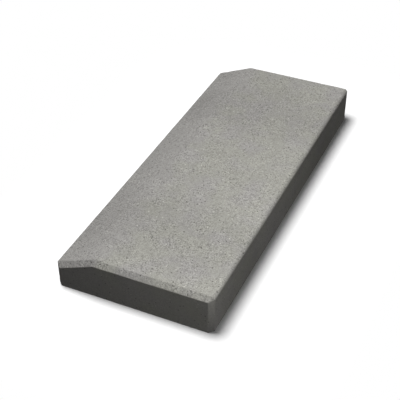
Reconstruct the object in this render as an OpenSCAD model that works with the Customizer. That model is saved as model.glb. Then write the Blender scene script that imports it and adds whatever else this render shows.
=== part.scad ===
// Concrete park kerb, stored lying on its back: one cast stone with a bevelled front,
// 45 degree chamfers round the face side of both ends, and a rounded arris at its foot.
// X runs from the head to the foot, Y along the run of the kerb, Z from the back to the face.
// Units are millimetres. The origin is the middle of the back, on the floor.

/* [Stone] */
// Length along the run of the kerb
stone_length = 500; // [250:5:1000]
// Height of the laid kerb, from its head to its foot
stone_height = 205; // [150:5:300]
// Thickness between the face and the back
stone_thickness = 53; // [40:1:100]

/* [Bevel] */
// How far the bevel reaches down the face from the head
bevel_reach = 51; // [20:1:90]
// How much the bevel takes off the thickness at the head
bevel_depth = 21; // [5:1:30]

/* [Edges] */
// Chamfer round the face side of each end, measured square to each edge
end_chamfer = 6; // [2:0.5:10]
// Radius of the arris between the face and the foot
foot_arris_r = 5; // [1:0.5:10]

/* [Hidden] */
$fn = 96;

// How far the sides and the waste run past the stone
overrun = stone_length + stone_height;

// Corners of the section in X and Z, anticlockwise from the back of the foot
back_foot = [stone_height / 2, 0];
face_foot = [stone_height / 2, stone_thickness];
face_bevel = [bevel_reach - stone_height / 2, stone_thickness];
bevel_head = [-stone_height / 2, stone_thickness - bevel_depth];
back_head = [-stone_height / 2, 0];

// Sides that the end chamfers go round: all but the back
sides = [
    [back_foot, face_foot],
    [face_foot, face_bevel],
    [face_bevel, bevel_head],
    [bevel_head, back_head]
];

// The stone before its bevel, chamfers and arris
module block() {
    translate([-stone_height / 2, -stone_length / 2, 0])
        cube([stone_height, stone_length, stone_thickness]);
}

// All that lies behind one side and behind the chamfer at its far end.
// The outline across the side has its corner where the chamfer starts.
module behind(side) {
    along = side[1] - side[0];
    translate([side[0].x, stone_length / 2 - end_chamfer, side[0].y])
        rotate([0, -atan2(along.y, along.x), 0])
            rotate([-90, 0, -90])
                translate([0, 0, -overrun])
                    linear_extrude(2 * overrun)
                        polygon([
                            [0, 0],
                            [-overrun, -overrun],
                            [overrun, -overrun],
                            [overrun, 0]
                        ]);
}

// What the rounded arris takes off the corner between the face and the foot
module foot_arris_waste() {
    translate([face_foot.x, 0, face_foot.y])
        rotate([90, 0, 0])
            linear_extrude(2 * overrun, center = true)
                translate([-foot_arris_r, -foot_arris_r])
                    difference() {
                        square(overrun);
                        circle(foot_arris_r);
                    }
}

// The cast stone
module kerb_stone() {
    color("#a09f99")
        difference() {
            intersection() {
                block();
                intersection_for(end = [0, 1], side = sides)
                    mirror([0, end, 0]) behind(side);
            }
            foot_arris_waste();
        }
}

kerb_stone();
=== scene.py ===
"""Concrete park kerb: one cast stone with its worn surface, on a white studio floor."""

import math
from random import Random

import bmesh
import bpy
from bpy.props import FloatProperty, FloatVectorProperty, IntProperty, PointerProperty
from bpy.types import Operator, Panel, PropertyGroup
from mathutils import Matrix, Vector, kdtree, noise


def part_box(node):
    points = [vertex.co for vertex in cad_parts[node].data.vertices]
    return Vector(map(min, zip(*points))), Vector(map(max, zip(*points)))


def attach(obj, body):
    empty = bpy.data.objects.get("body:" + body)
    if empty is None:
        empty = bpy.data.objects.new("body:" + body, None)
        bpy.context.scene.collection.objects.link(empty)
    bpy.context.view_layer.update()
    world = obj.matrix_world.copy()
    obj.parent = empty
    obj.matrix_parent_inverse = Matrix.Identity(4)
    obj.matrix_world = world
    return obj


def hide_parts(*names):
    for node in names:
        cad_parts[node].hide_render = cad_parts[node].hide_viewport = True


bl_info = {
    "name": "Concrete Park Kerb",
    "version": (1, 0, 0),
    "blender": (4, 5, 0),
    "location": "3D View > Sidebar > Kerb",
    "description": "Casts a concrete park kerb and sets up its studio stage",
    "category": "Add Mesh",
}

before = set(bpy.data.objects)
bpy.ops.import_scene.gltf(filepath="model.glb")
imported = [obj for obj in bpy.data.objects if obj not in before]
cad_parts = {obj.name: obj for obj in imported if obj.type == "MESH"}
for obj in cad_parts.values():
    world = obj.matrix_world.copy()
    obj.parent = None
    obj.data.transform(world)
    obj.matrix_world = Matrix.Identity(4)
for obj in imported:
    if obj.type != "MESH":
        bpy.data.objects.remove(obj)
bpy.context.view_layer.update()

# The box of the CAD model, and the sizes of its stone
LOW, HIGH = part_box("kerb_stone")
MM = 0.001
TOUCH = 0.01 * MM
X, Y, Z = range(3)


def cad_corners(axis, place):
    """Corners of the CAD stone that lie at one place along an axis"""
    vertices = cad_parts["kerb_stone"].data.vertices
    return [vertex.co for vertex in vertices if abs(vertex.co[axis] - place) < TOUCH]


BREAK_X = min(corner.x for corner in cad_corners(Z, HIGH.z))
FOOT_ARRIS_R = HIGH.x - max(corner.x for corner in cad_corners(Z, HIGH.z))
END_CHAMFER = HIGH.y - max(corner.y for corner in cad_corners(Z, HIGH.z))
HEAD_Z = max(corner.z for corner in cad_corners(X, LOW.x))

# Directions that the stone's flat sides face
FOOT = Vector((1, 0, 0))
HEAD = Vector((-1, 0, 0))
FACE = Vector((0, 0, 1))
BEVEL = Vector((HEAD_Z - HIGH.z, 0, BREAK_X - LOW.x)).normalized()

# How finely the two rounds are cut, which edges count as sharp, and the share of the grid's step within
# which a cut snaps to a point that is there already
FOOT_STEPS = 8
BREAK_STEPS = 7
SHARP_ANGLE = math.radians(14)
SNAP_SHARE = 0.08

# Upward part of a surface's normal from which sand starts to show, and from which it lies bare
BARE_FROM, BARE_TO = 0.25, 0.6
# Endward part of the normal from which a chamfer is rubbed, and how much barer its sand lies
RUBBED_FROM, RUBBED_TO = 0.5, 0.7
RUBBED_EXTRA = 0.4

# Wider pores: how bare the surface has to be, the size of their clusters, the noise from which a cluster
# starts and is full, the chance of a pore elsewhere, and the smallest radius with its spread
PORE_BARENESS = 0.5
PORE_CLUSTER = 35 * MM
CLUSTER_FROM, CLUSTER_TO = -0.15, 0.45
STRAY_CHANCE = 0.12
PORE_SMALLEST, PORE_SPREAD = 0.45, 0.55
# Share of a pore's radius that is its flat bottom, and of the grid's step by which its finer cuts reach out
PORE_BOTTOM = 0.25
PORE_MARGIN = 0.75

# Chips: the noise from which one starts and is deepest, how deep they are on the mould's sides, and how
# much deeper on the face
CHIP_FROM, CHIP_TO = 0.3, 0.75
CHIP_ON_SIDES, CHIP_ON_FACE = 0.35, 0.65

# Parts of a normal that tell the face and the bevel, and the corner chamfers, from the other sides
FACE_SIDE_Z = 0.88
CORNER_XY = 0.5
CORNER_Z = 0.35

# Sizes of what shows in the concrete
PATCH_SIZE = 38 * MM
BAND_LENGTH = 290 * MM
MOTTLE_SIZE = 22 * MM
FINE_SAND = 1.1 * MM
COARSE_SAND = 2.6 * MM
COVER_SIZE = 24 * MM
QUARTZ_SPACING = 6.5 * MM
PIT_SPACING = 4.4 * MM
PIT_CLUSTER = 30 * MM
GRAIN_HEIGHT = 0.25 * MM
# The wave texture runs through this many radians in a unit of length
WAVE_RADIANS = 20

# The floor's half width, and the distances from the stone at which it starts to run out to white and
# has become white
FLOOR_REACH = 6.0
FADE_FROM, FADE_TO = 50 * MM, 160 * MM
SENSOR_WIDTH = 36.0


def linear(code):
    """Linear colour of an sRGB hex code"""
    shares = [int(code[place:place + 2], 16) / 255 for place in (1, 3, 5)]
    return [s / 12.92 if s <= 0.04045 else ((s + 0.055) / 1.055) ** 2.4 for s in shares]


def length(name, description, default):
    """A length in metres that the user may change"""
    return FloatProperty(name=name, description=description, default=default, min=0.0, precision=5,
                         subtype="DISTANCE", unit="LENGTH")


def angle(name, description, degrees):
    """An angle that the user may change"""
    return FloatProperty(name=name, description=description, default=math.radians(degrees),
                         subtype="ANGLE", unit="ROTATION")


def colour(name, description, code):
    """A colour that the user may change"""
    return FloatVectorProperty(name=name, description=description, default=linear(code), size=3,
                               min=0.0, max=1.0, subtype="COLOR")


class KerbSizes(PropertyGroup):
    """Sizes of the stone's worn surface"""

    worn_arris: length("Worn arris", "Width of the wear along every sharp arris", 0.6 * MM)
    worn_foot: length(
        "Worn foot arris", "Radius of the arris between face and foot", FOOT_ARRIS_R + 0.5 * MM)
    worn_break: length("Worn break", "Radius of the wear where the face turns into the bevel", 15 * MM)
    soft_break: length("Soft break", "How far the light takes to turn on each side of that break", 26 * MM)
    corner_fade: FloatProperty(
        name="Corner fade", description="How much the light fades down the corner chamfers",
        default=0.22, min=0.0)
    grid: length("Grid", "Spacing of the points that carry the relief", 2.5 * MM)
    wave_size: length("Wave size", "Size of the slow hollows that the mould leaves", 85 * MM)
    wave_depth: length("Wave depth", "Depth of the slow hollows", 0.2 * MM)
    grain_size: length("Grain size", "Size of the sand's relief", 5 * MM)
    grain_depth: length("Grain depth", "Depth of the sand's relief", 0.2 * MM)
    chip_size: length("Chip size", "Length of a chip along an arris", 8 * MM)
    chip_reach: length("Chip reach", "How far a chip reaches from the arris", 2.5 * MM)
    chip_depth: length("Chip depth", "Depth of the deepest chips", 0.5 * MM)
    pore_radius: length("Pore radius", "Radius of the widest air pores", 1.5 * MM)
    pore_depth: length("Pore depth", "Depth of the widest air pores", 1.1 * MM)
    pore_gap: length("Pore gap", "How far the pores stay from an arris", 5 * MM)
    pore_count: IntProperty(
        name="Pores", description="Air pores wide enough to be shaped", default=300, min=0)
    seed: IntProperty(name="Seed", description="Picks where the pores lie", default=7)


class KerbColours(PropertyGroup):
    """Colours of the concrete and of the stage"""

    paste: colour("Cement paste", "Hardened cement with fine sand", "#a6a59e")
    paste_warm: colour("Warm paste", "Patches where the paste is a little less yellow", "#a5a3a0")
    pore: colour("Pore", "Shaded bottom of an air pore", "#5f5e5a")
    pale_grain: colour("Pale grain", "Quartz grains that lie bare", "#d2d1ca")
    floor: colour("Floor", "Studio floor", "#f7f7f7")


class KerbStage(PropertyGroup):
    """Camera and ambient light of the studio stage"""

    lens: FloatProperty(name="Lens", description="Focal length for a 36 mm sensor", default=85.163,
                        subtype="DISTANCE_CAMERA", unit="CAMERA")
    place: FloatVectorProperty(name="Camera place", description="Where the camera stands", size=3,
                               default=(0.40216, -0.94611, 0.77778), precision=5,
                               subtype="TRANSLATION", unit="LENGTH")
    tilt: angle("Camera tilt", "How far the camera is raised from looking straight down", 52.354)
    turn: angle("Camera turn", "How far the camera is turned about the upright", 24.381)
    ambient: FloatProperty(name="Ambient", description="Strength of the light from all round",
                           default=0.075, min=0.0)


def add(tree, kind, inputs=None, **settings):
    """Adds a node with its settings; an input takes a value, a socket, or a node for its first output"""
    node = tree.nodes.new(kind)
    for name, value in settings.items():
        setattr(node, name, value)
    for key, value in (inputs or {}).items():
        socket = next(s for s in node.inputs if s.enabled and key in (s.identifier, s.name))
        if isinstance(value, bpy.types.Node):
            value = next(s for s in value.outputs if s.enabled)
        if isinstance(value, bpy.types.NodeSocket):
            tree.links.new(value, socket)
        else:
            socket.default_value = value
    return node


def calculate(tree, operation, first, second):
    """Adds a node that works out an operation on two values"""
    return add(tree, "ShaderNodeMath", {"Value": first, "Value_001": second}, operation=operation)


def multiply_add(tree, first, second, third):
    """Adds a node that works out first times second plus third"""
    return add(tree, "ShaderNodeMath", {
        "Value": first, "Value_001": second, "Value_002": third}, operation="MULTIPLY_ADD")


def spread(tree, value, start=0.0, end=1.0, low=0.0, high=1.0):
    """Adds a node whose value runs from low to high while another value runs from start to end"""
    return add(tree, "ShaderNodeMapRange", {
        "Value": value, "From Min": start, "From Max": end, "To Min": low, "To Max": high})


def blend(tree, share, first, second):
    """Adds a node that mixes two colours"""
    return add(tree, "ShaderNodeMix", {
        "Factor_Float": share, "A_Color": first, "B_Color": second}, data_type="RGBA")


def soft_noise(tree, place, size, detail):
    """Adds a node of noise with soft lumps of one size"""
    return add(tree, "ShaderNodeTexNoise", {"Vector": place, "Scale": 1 / size, "Detail": detail})


def grains(tree, place, size):
    """Adds nodes of cells of one size: the distance to a cell's middle, and each cell's random number"""
    cells = add(tree, "ShaderNodeTexVoronoi", {"Vector": place, "Scale": 1 / size})
    return cells, add(tree, "ShaderNodeSeparateColor", {"Color": cells.outputs["Color"]})


def new_material(name):
    """An empty node material and its tree"""
    material = bpy.data.materials.new(name)
    material.use_nodes = True
    material.node_tree.nodes.clear()
    return material, material.node_tree


def seen_directly(tree):
    """1 for what the camera sees, also in a reflection or through glass, and 0 for light that spreads"""
    path = add(tree, "ShaderNodeLightPath").outputs
    mirrored = calculate(tree, "MAXIMUM", path["Is Glossy Ray"], path["Is Transmission Ray"])
    return calculate(tree, "MAXIMUM", path["Is Camera Ray"], mirrored)


def opaque(rgb):
    """A colour with its alpha"""
    return (*rgb, 1.0)


def paste_colour(tree, place, across, colours):
    """Patches of yellower and of redder paste, and more of the redder one on the bevel"""
    patches = soft_noise(tree, place, PATCH_SIZE, detail=3.0)
    on_bevel = spread(tree, across, start=BREAK_X + 20 * MM, end=BREAK_X - 10 * MM, high=0.25)
    warm = spread(tree, calculate(tree, "ADD", patches, on_bevel), start=0.41, end=0.63)
    return blend(tree, warm, opaque(colours.paste), opaque(colours.paste_warm))


def slow_tone_and_painted_light(tree, place, across):
    """Slow bands across the stone, darker where the mix was wetter, painted light that makes the stone
    darker towards the head and paler towards the foot as light falls across it, and a faint mottle"""
    bands = add(tree, "ShaderNodeTexWave", {
        "Vector": place,
        "Scale": 2 * math.pi / WAVE_RADIANS / BAND_LENGTH,
        "Distortion": 1.2,
        "Detail": 2.0,
        "Detail Scale": 12.0,
        "Phase Offset": 3.25,
    }, bands_direction="Y")
    tone = spread(tree, bands.outputs["Fac"], end=0.5, low=0.91)
    # Painted light: the colour darkens towards the head and pales towards the foot, as light falls across
    # the face
    painted_light_ramp = spread(tree, across, start=LOW.x, end=HIGH.x, low=0.955, high=1.035)
    tone = calculate(tree, "MULTIPLY", tone, painted_light_ramp)
    mottle = spread(tree, soft_noise(tree, place, MOTTLE_SIZE, detail=1.0), low=0.955, high=1.045)
    return calculate(tree, "MULTIPLY", tone, mottle)


def sand_swing(tree, place):
    """Sand grains of two sizes, each of its own brightness"""
    fine = spread(tree, grains(tree, place, FINE_SAND)[1], low=-0.32, high=0.32)
    coarse = spread(tree, grains(tree, place, COARSE_SAND)[1], low=-0.06, high=0.06)
    return calculate(tree, "ADD", fine, coarse)


def sand_shown(tree, place, bare):
    """How much of the sand shows: more where it lies bare, less where paste covers it"""
    cover = soft_noise(tree, place, COVER_SIZE, detail=2.0)
    cover = spread(tree, cover, start=0.36, end=0.56, low=0.5)
    shown = spread(tree, bare, end=2.0, low=0.35, high=1.65)
    return calculate(tree, "MULTIPLY", shown, cover)


def quartz_grains(tree, place, open_skin):
    """Pale quartz grains, about one in a square centimetre"""
    quartz, drawn = grains(tree, place, QUARTZ_SPACING)
    chosen = calculate(tree, "GREATER_THAN", drawn, 0.55)
    grain = spread(tree, quartz, start=0.09, end=0.16, low=0.85, high=0.0)
    grain = calculate(tree, "MULTIPLY", grain, chosen)
    return calculate(tree, "MULTIPLY", grain, open_skin)


def small_pores(tree, place, open_skin):
    """Small dark pores, in clusters"""
    pits, drawn = grains(tree, place, PIT_SPACING)
    clusters = soft_noise(tree, place, PIT_CLUSTER, detail=1.0)
    likely = spread(tree, clusters, start=0.35, end=0.65, low=0.1, high=0.5)
    chosen = calculate(tree, "LESS_THAN", drawn, likely)
    pit = spread(tree, pits, start=0.14, end=0.22, low=0.95, high=0.0)
    pit = calculate(tree, "MULTIPLY", pit, chosen)
    return calculate(tree, "MULTIPLY", pit, open_skin)


def concrete_material(colours):
    """Vibrated grey concrete struck from a steel mould: matt cement paste whose sand shows as a salt and
    pepper speckle on the face, with dark pores, a few pale quartz grains and slow cloudy bands; the sides
    that lay against the mould are smoother and hardly speckled"""
    material, tree = new_material("grey_concrete_cast_in_mould")
    place = add(tree, "ShaderNodeTexCoord").outputs["Object"]
    across = add(tree, "ShaderNodeSeparateXYZ", {"Vector": place})
    bare = add(tree, "ShaderNodeAttribute", attribute_name="bare").outputs["Fac"]
    pore = add(tree, "ShaderNodeAttribute", attribute_name="pore").outputs["Fac"]

    # Paste with its speckle of sand, its slow tone, and painted light that is darker at the head and paler
    # at the foot
    paste = paste_colour(tree, place, across, colours)
    swing = sand_swing(tree, place)
    speckle = multiply_add(tree, swing, sand_shown(tree, place, bare), 1.0)
    speckle = calculate(tree, "MULTIPLY", speckle, slow_tone_and_painted_light(tree, place, across))
    speckled = add(tree, "ShaderNodeVectorMath", {"Vector": paste, "Scale": speckle}, operation="SCALE")

    # Grains and pores in it, that show less on the mould's sides
    open_skin = calculate(tree, "MAXIMUM", bare, 0.7)
    quartz = quartz_grains(tree, place, open_skin)
    with_quartz = blend(tree, quartz, speckled, opaque(colours.pale_grain))
    hollow = calculate(tree, "MAXIMUM", small_pores(tree, place, open_skin), pore)
    with_pores = blend(tree, hollow, with_quartz, opaque(colours.pore))

    # Grain that can be felt
    height = multiply_add(tree, hollow, -2.0, swing)
    felt = calculate(tree, "MULTIPLY", bare, 0.35)
    bump = add(tree, "ShaderNodeBump", {"Height": height, "Strength": felt, "Distance": GRAIN_HEIGHT})
    surface = add(tree, "ShaderNodeBsdfPrincipled", {
        "Base Color": with_pores,
        "Roughness": 0.92,
        "Specular IOR Level": 0.05,
        "Normal": bump,
    })
    add(tree, "ShaderNodeOutputMaterial", {"Surface": surface})
    return material


def floor_material(colours):
    """Matt white studio floor: it shows the stone's shadow to the eye, runs out to plain white away from
    the stone, and throws no light back"""
    material, tree = new_material("matt_white_studio_floor")
    place = add(tree, "ShaderNodeTexCoord").outputs["Object"]

    # Distance from the stone's footprint
    mirrored = add(tree, "ShaderNodeVectorMath", {"Vector": place}, operation="ABSOLUTE")
    beside = add(tree, "ShaderNodeVectorMath", {
        "Vector": mirrored, "Vector_001": HIGH}, operation="SUBTRACT")
    outside = add(tree, "ShaderNodeVectorMath", {
        "Vector": beside, "Vector_001": (0.0, 0.0, 0.0)}, operation="MAXIMUM")
    distance = add(tree, "ShaderNodeVectorMath", {"Vector": outside}, operation="LENGTH")
    far = spread(tree, distance, start=FADE_FROM, end=FADE_TO)

    lit = add(tree, "ShaderNodeBsdfDiffuse", {"Color": opaque(colours.floor)})
    white = add(tree, "ShaderNodeEmission", {"Color": opaque((1.0, 1.0, 1.0))})
    bright = add(tree, "ShaderNodeMixShader", {"Fac": far, "Shader": lit, "Shader_001": white})
    black = add(tree, "ShaderNodeBsdfDiffuse", {"Color": opaque((0.0, 0.0, 0.0))})
    mixed = add(tree, "ShaderNodeMixShader", {
        "Fac": seen_directly(tree), "Shader": black, "Shader_001": bright})
    add(tree, "ShaderNodeOutputMaterial", {"Surface": mixed})
    return material


def whole(bm):
    """All of a mesh's geometry"""
    return bm.verts[:] + bm.edges[:] + bm.faces[:]


def cut_away(bm, point, outward):
    """Cuts off what lies outside a plane, and closes the cut"""
    cut = bmesh.ops.bisect_plane(bm, geom=whole(bm), dist=TOUCH, plane_co=point, plane_no=outward,
                                 clear_outer=True)
    rim = [item for item in cut["geom_cut"] if isinstance(item, bmesh.types.BMEdge)]
    bmesh.ops.holes_fill(bm, edges=rim, sides=0)


def round_off(bm, corner, first, second, radius, steps):
    """Rounds the corner between two sides by cuts that all touch one cylinder"""
    centre = corner - (first + second) * radius / (1 + first.dot(second))
    for step in range(1, steps):
        outward = first.slerp(second, step / steps)
        cut_away(bm, centre + outward * radius, outward)


def cast_blank(bm, worn_break, worn_foot):
    """The stone with sharp arrises: a block, cut to its bevel, its end chamfers and its foot arris"""
    size = Matrix.Diagonal((*(HIGH - LOW), 1.0))
    bmesh.ops.create_cube(bm, size=1.0, matrix=Matrix.Translation((LOW + HIGH) / 2) @ size)
    foot_corner = Vector((HIGH.x, 0, HIGH.z))
    break_corner = Vector((BREAK_X, 0, HIGH.z))
    head_corner = Vector((LOW.x, 0, HEAD_Z))
    cut_away(bm, break_corner, BEVEL)

    # Each end's chamfer follows the four sides, and turns round the middle of the foot arris
    arris = (FOOT + FACE).normalized()
    arris_middle = foot_corner - (FOOT + FACE) * worn_foot + arris * worn_foot
    chamfered = ((foot_corner, FOOT), (foot_corner, FACE), (break_corner, BEVEL), (head_corner, HEAD),
                 (arris_middle, arris))
    for end in (LOW.y, HIGH.y):
        along = Vector((0, math.copysign(1, end), 0))
        for corner, side in chamfered:
            start = corner + Vector((0, end, 0)) - along * END_CHAMFER
            cut_away(bm, start, (side + along).normalized())
    round_off(bm, foot_corner, FOOT, FACE, worn_foot, FOOT_STEPS)
    round_off(bm, break_corner, FACE, BEVEL, worn_break, BREAK_STEPS)


def wear_arrises(bm, width):
    """Wears every sharp arris to a small round, and returns the layer that marks the rounds' faces"""
    layer = bm.faces.layers.int.new("worn")
    sharp = [edge for edge in bm.edges if edge.calc_face_angle(0.0) > SHARP_ANGLE]
    worn = bmesh.ops.bevel(bm, geom=sharp, offset=width, offset_type="OFFSET", segments=2, profile=0.5,
                           affect="EDGES", material=-1, clamp_overlap=True)
    for face in worn["faces"]:
        face[layer] = 1
    return layer


def slice_up(bm, step):
    """Cuts the surface into a grid, the long way first"""
    for axis in (Y, X, Z):
        extent = HIGH[axis] - LOW[axis]
        count = round(extent / step)
        normal = Vector([float(axis == other) for other in range(3)])
        for index in range(1, count):
            point = normal * (LOW[axis] + extent * index / count)
            bmesh.ops.bisect_plane(bm, geom=whole(bm), dist=step * SNAP_SHARE, plane_co=point,
                                   plane_no=normal)


def smooth_share(value, start, end):
    """How far a value has come from start to end, with a soft start and end"""
    share = min(max((value - start) / (end - start), 0.0), 1.0)
    return share * share * (3 - 2 * share)


def bareness(vertex):
    """How bare the sand lies: fully on the face side, hardly on the sides that lay against the mould"""
    return smooth_share(vertex.normal.z, BARE_FROM, BARE_TO)


def rubbed(vertex):
    """How much barer the sand lies on the end chamfers, where the wet stone was rubbed down"""
    return 1 + RUBBED_EXTRA * smooth_share(abs(vertex.normal.y), RUBBED_FROM, RUBBED_TO)


def scatter_pores(bm, arrises, sizes):
    """Places and radii of the wider pores, in loose clusters over the face side, clear of the arrises"""
    dice = Random(sizes.seed)
    spots = [vertex for vertex in bm.verts
             if bareness(vertex) > PORE_BARENESS and arrises.find(vertex.co)[2] > sizes.pore_gap]
    weights = [smooth_share(noise.noise(vertex.co / PORE_CLUSTER), CLUSTER_FROM, CLUSTER_TO) + STRAY_CHANCE
               for vertex in spots]
    pores = []
    for vertex in dice.choices(spots, weights, k=sizes.pore_count):
        aside = Vector([dice.uniform(-0.5, 0.5) * sizes.grid for _ in range(3)])
        aside -= vertex.normal * aside.dot(vertex.normal)
        radius = sizes.pore_radius * (PORE_SMALLEST + PORE_SPREAD * dice.random() ** 3)
        pores.append((vertex.co + aside, radius))
    return pores


def nearest(places):
    """A search tree over some places"""
    tree = kdtree.KDTree(len(places))
    for index, place in enumerate(places):
        tree.insert(place, index)
    tree.balance()
    return tree


def refine(bm, pores, search, sizes):
    """Cuts the grid finer round the pores"""
    edges = set()
    for face in bm.faces:
        _, index, distance = search.find(face.calc_center_median())
        if index is not None and distance < pores[index][1] + sizes.grid * PORE_MARGIN:
            edges.update(face.edges)
    bmesh.ops.subdivide_edges(bm, edges=list(edges), cuts=2, use_grid_fill=True)
    many_sided = [face for face in bm.faces if len(face.verts) > 4]
    bmesh.ops.triangulate(bm, faces=many_sided, quad_method="BEAUTY", ngon_method="BEAUTY")


def press_relief(bm, worn, sizes):
    """Presses the relief into the surface: slow hollows, sand, pores, and chips along the arrises"""
    bm.normal_update()
    worn_places = [vertex.co.copy() for vertex in bm.verts
                   if any(face[worn] for face in vertex.link_faces)]
    arrises = nearest(worn_places)
    pores = scatter_pores(bm, arrises, sizes)
    pore_search = nearest([place for place, _ in pores])
    refine(bm, pores, pore_search, sizes)
    bm.normal_update()
    bare_layer = bm.verts.layers.float.new("bare")
    pore_layer = bm.verts.layers.float.new("pore")
    moves = []
    for vertex in bm.verts:
        bare = bareness(vertex)
        depth = sizes.wave_depth * (0.5 + 0.5 * noise.noise(vertex.co / sizes.wave_size))
        depth += bare * sizes.grain_depth * (0.5 + 0.5 * noise.noise(vertex.co / sizes.grain_size))
        gap = arrises.find(vertex.co)[2]
        chip = smooth_share(noise.noise(vertex.co / sizes.chip_size), CHIP_FROM, CHIP_TO)
        by_arris = 1 - smooth_share(gap, 0.0, sizes.chip_reach)
        depth += sizes.chip_depth * chip * by_arris * (CHIP_ON_SIDES + CHIP_ON_FACE * bare)
        _, index, distance = pore_search.find(vertex.co)
        radius = pores[index][1]
        bowl = 1 - smooth_share(distance, PORE_BOTTOM * radius, radius)
        depth += bowl * sizes.pore_depth * radius / sizes.pore_radius
        vertex[bare_layer] = bare * rubbed(vertex)
        vertex[pore_layer] = bowl
        moves.append(vertex.normal * -depth)
    for vertex, move in zip(bm.verts, moves):
        vertex.co += move


def part_shading(bm, worn):
    """Shades the surface smooth, but keeps the flat sides apart from the worn arrises"""
    for face in bm.faces:
        face.smooth = True
    for edge in bm.edges:
        edge.smooth = len({face[worn] for face in edge.link_faces}) == 1


def turned(share):
    """Direction between the bevel's, at a share of -1, and the face's, at a share of 1"""
    return BEVEL.slerp(FACE, min(max(0.5 + 0.5 * share, 0.0), 1.0))


def ease_light(mesh, sizes):
    """Lets the light turn slowly over the worn break, so that no line shows between the bevel and the face,
    and lets it fade down the corner chamfers"""
    half_round = sizes.worn_break * math.tan(BEVEL.angle(FACE) / 2)
    unchanged = (0.0, 0.0, 0.0)
    normals = []
    for loop, corner in zip(mesh.loops, mesh.corner_normals):
        place = mesh.vertices[loop.vertex_index].co
        normal = corner.vector
        aside = place.x - BREAK_X
        if abs(aside) < sizes.soft_break and normal.z > FACE_SIDE_Z:
            softer = turned(aside / sizes.soft_break) - turned(aside / half_round)
            normals.append((normal + softer).normalized())
        elif min(abs(normal.x), abs(normal.y)) > CORNER_XY and normal.z < CORNER_Z:
            raised = sizes.corner_fade * (2 * place.z / HIGH.z - 1)
            normals.append((normal + FACE * raised).normalized())
        else:
            normals.append(unchanged)
    mesh.normals_split_custom_set(normals)


class KERB_OT_cast_stone(Operator):
    """Cast the kerb stone with its worn surface"""

    bl_idname = "kerb.cast_stone"
    bl_label = "Cast Stone"

    def execute(self, context):
        sizes = context.scene.kerb_sizes
        bm = bmesh.new()
        cast_blank(bm, sizes.worn_break, sizes.worn_foot)
        worn = wear_arrises(bm, sizes.worn_arris)
        slice_up(bm, sizes.grid)
        press_relief(bm, worn, sizes)
        part_shading(bm, worn)
        mesh = bpy.data.meshes.new("kerb")
        bm.to_mesh(mesh)
        bm.free()
        ease_light(mesh, sizes)
        mesh.materials.append(concrete_material(context.scene.kerb_colours))
        stone = bpy.data.objects.new("kerb", mesh)
        context.scene.collection.objects.link(stone)
        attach(stone, "root")
        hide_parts("kerb_stone")
        return {"FINISHED"}


def lay_floor(scene):
    """Lays the studio floor"""
    bm = bmesh.new()
    bmesh.ops.create_grid(bm, x_segments=1, y_segments=1, size=FLOOR_REACH)
    mesh = bpy.data.meshes.new("floor")
    bm.to_mesh(mesh)
    bm.free()
    mesh.materials.append(floor_material(scene.kerb_colours))
    floor = bpy.data.objects.new("floor", mesh)
    scene.collection.objects.link(floor)
    return floor


def hang_lamp(scene, name, receiver, power, width, place, aim=(0.0, 0.0, 0.03)):
    """Hangs a soft round lamp that shines from a place towards an aim, on one object only"""
    light = bpy.data.lights.new(name, "AREA")
    light.shape = "DISK"
    light.size = width
    light.energy = power
    lamp = bpy.data.objects.new(name, light)
    lamp.location = place
    lamp.rotation_euler = (Vector(aim) - Vector(place)).to_track_quat("-Z", "Y").to_euler()
    lamp.visible_camera = False
    scene.collection.objects.link(lamp)
    lit = bpy.data.collections.new(name + "_receivers")
    lit.objects.link(receiver)
    lamp.light_linking.receiver_collection = lit


def hang_lamps(scene, stone, floor):
    """Hangs the lamps: some light the stone and the others light the floor"""
    hang_lamp(scene, "key", stone, power=26.5, width=0.8, place=(-0.161, 0.12, 1.947))
    hang_lamp(scene, "fill", stone, power=1.43, width=0.23, place=(0.362, -0.435, 0.543))
    hang_lamp(scene, "head_fill", stone, power=0.95, width=0.2, place=(-1.3, -0.1, 0.1))
    hang_lamp(scene, "far_end_fill", stone, power=1.0, width=0.2, place=(0.1, 1.5, 0.1))
    hang_lamp(scene, "floor_key", floor, power=65.0, width=1.05, place=(-0.505, -0.03, 2.2),
              aim=(-0.505, -0.03, 0.0))
    hang_lamp(scene, "floor_fill", floor, power=1.2, width=0.4, place=(0.9, -0.6, 0.9))


def light_world(scene):
    """Fills the studio with a little even light, in front of a white background"""
    world = bpy.data.worlds.new("studio")
    world.use_nodes = True
    tree = world.node_tree
    tree.nodes.clear()
    strength = spread(tree, seen_directly(tree), low=scene.kerb_stage.ambient)
    white = add(tree, "ShaderNodeBackground", {"Color": opaque((1.0, 1.0, 1.0)), "Strength": strength})
    add(tree, "ShaderNodeOutputWorld", {"Surface": white})
    scene.world = world


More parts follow.
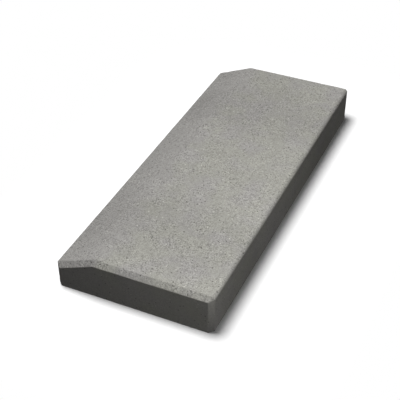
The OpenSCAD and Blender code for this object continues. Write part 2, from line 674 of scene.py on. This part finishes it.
def place_camera(scene):
    """Places the camera"""
    stage = scene.kerb_stage
    camera = bpy.data.cameras.new("camera")
    camera.sensor_width = SENSOR_WIDTH
    camera.lens = stage.lens
    viewer = bpy.data.objects.new("camera", camera)
    viewer.location = stage.place
    viewer.rotation_euler = (stage.tilt, 0.0, stage.turn)
    scene.collection.objects.link(viewer)
    scene.camera = viewer


class KERB_OT_set_stage(Operator):
    """Lay the floor, hang the lamps and place the camera"""

    bl_idname = "kerb.set_stage"
    bl_label = "Set Stage"

    def execute(self, context):
        scene = context.scene
        floor = lay_floor(scene)
        hang_lamps(scene, bpy.data.objects["kerb"], floor)
        light_world(scene)
        place_camera(scene)
        scene.view_settings.view_transform = "Standard"
        return {"FINISHED"}


class KERB_PT_panel(Panel):
    """Sizes, colours and steps of the kerb"""

    bl_label = "Concrete Park Kerb"
    bl_idname = "KERB_PT_panel"
    bl_space_type = "VIEW_3D"
    bl_region_type = "UI"
    bl_category = "Kerb"

    def draw(self, context):
        for group in (context.scene.kerb_sizes, context.scene.kerb_colours, context.scene.kerb_stage):
            for name in group.__annotations__:
                self.layout.prop(group, name)
        self.layout.operator(KERB_OT_cast_stone.bl_idname)
        self.layout.operator(KERB_OT_set_stage.bl_idname)


CLASSES = (KerbSizes, KerbColours, KerbStage, KERB_OT_cast_stone, KERB_OT_set_stage, KERB_PT_panel)


def register():
    """Adds the classes to Blender, and their settings to its scenes"""
    for cls in CLASSES:
        bpy.utils.register_class(cls)
    bpy.types.Scene.kerb_sizes = PointerProperty(type=KerbSizes)
    bpy.types.Scene.kerb_colours = PointerProperty(type=KerbColours)
    bpy.types.Scene.kerb_stage = PointerProperty(type=KerbStage)


def unregister():
    """Takes the settings and the classes out of Blender again"""
    del bpy.types.Scene.kerb_stage
    del bpy.types.Scene.kerb_colours
    del bpy.types.Scene.kerb_sizes
    for cls in reversed(CLASSES):
        bpy.utils.unregister_class(cls)


def main():
    """Casts the stone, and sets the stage"""
    register()
    bpy.ops.kerb.cast_stone()
    bpy.ops.kerb.set_stage()


if __name__ == "__main__":
    main()
